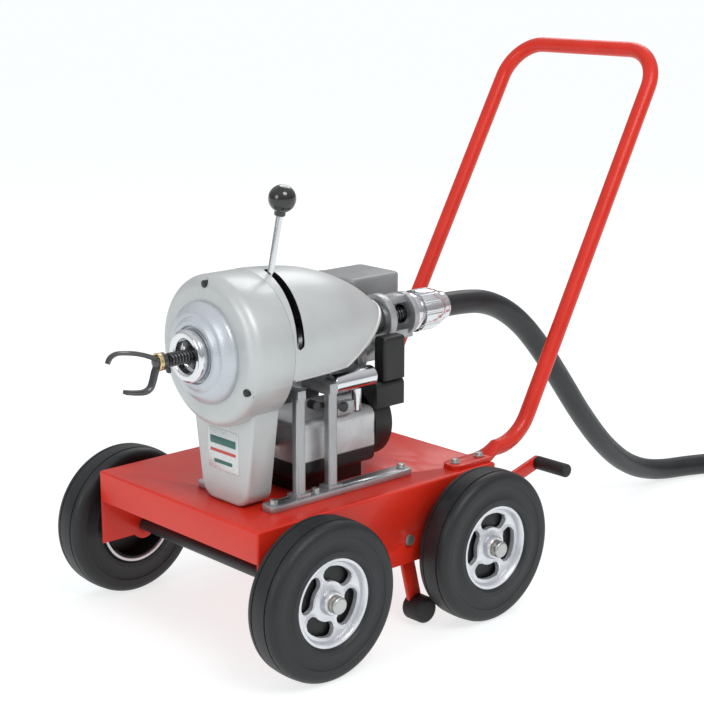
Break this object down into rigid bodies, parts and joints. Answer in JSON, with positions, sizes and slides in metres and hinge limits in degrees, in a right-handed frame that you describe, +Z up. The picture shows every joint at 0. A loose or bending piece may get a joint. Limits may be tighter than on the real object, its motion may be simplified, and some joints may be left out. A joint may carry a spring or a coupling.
{
  "type": "drain cleaning machine",
  "caption": "Engine-driven sectional drain cleaner on a four-wheel push cart, with a hollow spindle, a clutch lever, a guide hose and a two-jaw cutter.",
  "frame": {"origin": "on the floor, under the middle of the machine's length and width without its guide hose", "axes": "+X forward, the way the spiral leaves the machine; +Y the machine's left; +Z up"},
  "size_m": [1.834, 0.9276, 0.8985],
  "materials": {
    "red_paint": "gloss",
    "tyre_rubber": "matt",
    "rim_alloy": "satin",
    "zinc_steel": "satin",
    "grey_paint": "semi-gloss",
    "flange_paint": "semi-gloss",
    "bare_alloy": "cast",
    "black_plastic": "matt",
    "knob_plastic": "gloss",
    "black_rubber": "matt",
    "hose_rubber": "satin",
    "chrome_steel": "polished",
    "spring_steel": "oiled",
    "black_steel": "satin",
    "tank_paint": "semi-gloss",
    "bronze_bush": "plain",
    "cast_iron": "turned"
  },
  "bodies": {
    "cart_and_machine": {"deck_tray": "red_paint", "axles": "zinc_steel", "axle_spacers": "zinc_steel", "axle_caps": "zinc_steel", "push_handle": "red_paint", "deck_bolts": "zinc_steel", "stand_pin": "zinc_steel", "front_cover": "grey_paint", "front_flange": "flange_paint", "back_plate": "black_steel", "hood": "grey_paint", "cover_screws": "black_plastic", "main_casting": "bare_alloy", "spindle_bearings": "zinc_steel", "base_rails": "bare_alloy", "drive_belt": "black_rubber", "crankcase": "bare_alloy", "cylinder": "bare_alloy", "spark_plug_cap": "black_rubber", "fan_shroud": "black_plastic", "starter_cover": "black_plastic", "starter_grip": "knob_plastic", "fuel_tank": "tank_paint", "muffler": "chrome_steel", "air_filter_box": "black_plastic", "carburettor": "bare_alloy", "rear_yoke": "bare_alloy", "hose_coupling": "chrome_steel", "guide_hose": "hose_rubber", "hose_coil": "hose_rubber", "hose_nozzle": "chrome_steel"},
    "wheel_front_left": {"tyre_front_left": "tyre_rubber", "rim_front_left": "rim_alloy", "bush_front_left": "bronze_bush"},
    "wheel_front_right": {"tyre_front_right": "tyre_rubber", "rim_front_right": "rim_alloy", "bush_front_right": "bronze_bush"},
    "wheel_rear_left": {"tyre_rear_left": "tyre_rubber", "rim_rear_left": "rim_alloy", "bush_rear_left": "bronze_bush"},
    "wheel_rear_right": {"tyre_rear_right": "tyre_rubber", "rim_rear_right": "rim_alloy", "bush_rear_right": "bronze_bush"},
    "spindle": {"spindle_tube": "zinc_steel", "chuck_ring": "chrome_steel", "driven_pulley": "cast_iron", "spiral_cable": "spring_steel", "cutter_head": "spring_steel"},
    "jaw_1": {"jaw_1": "spring_steel"},
    "jaw_2": {"jaw_2": "spring_steel"},
    "jaw_3": {"jaw_3": "spring_steel"},
    "shift_collar": {"shift_collar": "spring_steel"},
    "clutch_lever": {"clutch_lever": "chrome_steel", "ball_knob": "knob_plastic"},
    "crankshaft": {"drive_pulley": "cast_iron"},
    "stand": {"stand_lever": "red_paint", "stand_foot": "black_rubber", "pedal_sleeve": "black_rubber"},
    "throttle": {"throttle_lever": "black_steel"},
    "fuel_cap": {"fuel_cap": "black_plastic"}
  },
  "joints": [
    {"name": "wheel_front_left_spin", "type": "hinge", "parent": "cart_and_machine", "child": "wheel_front_left", "pos_m": [0.31775, 0.249, 0.125], "axis": [0, 1, 0], "continuous": true},
    {"name": "wheel_front_right_spin", "type": "hinge", "parent": "cart_and_machine", "child": "wheel_front_right", "pos_m": [0.31775, -0.249, 0.125], "axis": [0, 1, 0], "continuous": true},
    {"name": "wheel_rear_left_spin", "type": "hinge", "parent": "cart_and_machine", "child": "wheel_rear_left", "pos_m": [-0.03025, 0.249, 0.125], "axis": [0, 1, 0], "continuous": true},
    {"name": "wheel_rear_right_spin", "type": "hinge", "parent": "cart_and_machine", "child": "wheel_rear_right", "pos_m": [-0.03025, -0.249, 0.125], "axis": [0, 1, 0], "continuous": true},
    {"name": "spindle_spin", "type": "hinge", "parent": "cart_and_machine", "child": "spindle", "pos_m": [0.14375, 0.062, 0.477], "axis": [1, 0, 0], "continuous": true},
    {"name": "crankshaft_spin", "type": "hinge", "parent": "cart_and_machine", "child": "crankshaft", "pos_m": [0.31975, 0.062, 0.318], "axis": [1, 0, 0], "continuous": true},
    {"name": "shift_collar_slide", "type": "slide", "parent": "cart_and_machine", "child": "shift_collar", "axis": [1, 0, 0], "range_m": [0, 0.01536]},
    {"name": "clutch_lever_swing", "type": "hinge", "parent": "shift_collar", "child": "clutch_lever", "pos_m": [0.27775, 0.062, 0.477], "axis": [-1, 0, 0], "range_deg": [0, 64]},
    {"name": "jaw_1_slide", "type": "slide", "parent": "spindle", "child": "jaw_1", "axis": [0, 0, -1], "range_m": [0, 0.0025]},
    {"name": "jaw_2_slide", "type": "slide", "parent": "spindle", "child": "jaw_2", "axis": [0, 0.866, 0.5], "range_m": [0, 0.0025]},
    {"name": "jaw_3_slide", "type": "slide", "parent": "spindle", "child": "jaw_3", "axis": [0, -0.866, 0.5], "range_m": [0, 0.0025]},
    {"name": "stand_swing", "type": "hinge", "parent": "cart_and_machine", "child": "stand", "pos_m": [0.09375, 0.188, 0.15], "axis": [0, 1, 0], "range_deg": [-15, 0], "stiffness_Nm_per_rad": 5, "springref_deg": 25.78},
    {"name": "throttle_swing", "type": "hinge", "parent": "cart_and_machine", "child": "throttle", "pos_m": [0.16375, 0.127, 0.366], "axis": [0, -1, 0], "range_deg": [-25, 0]},
    {"name": "fuel_cap_turn", "type": "hinge", "parent": "cart_and_machine", "child": "fuel_cap", "pos_m": [-0.01625, -0.1165, 0.5064], "axis": [0, 0, 1], "range_deg": [0, 90]}
  ],
  "couplings": [
    {"joint": "crankshaft_spin", "follows": "spindle_spin", "ratio": 2.9545},
    {"joint": "shift_collar_slide", "follows": "clutch_lever_swing", "m_per_rad": 0.013751},
    {"joint": "jaw_1_slide", "follows": "clutch_lever_swing", "m_per_rad": 0.0022381},
    {"joint": "jaw_2_slide", "follows": "clutch_lever_swing", "m_per_rad": 0.0022381},
    {"joint": "jaw_3_slide", "follows": "clutch_lever_swing", "m_per_rad": 0.0022381}
  ]
}
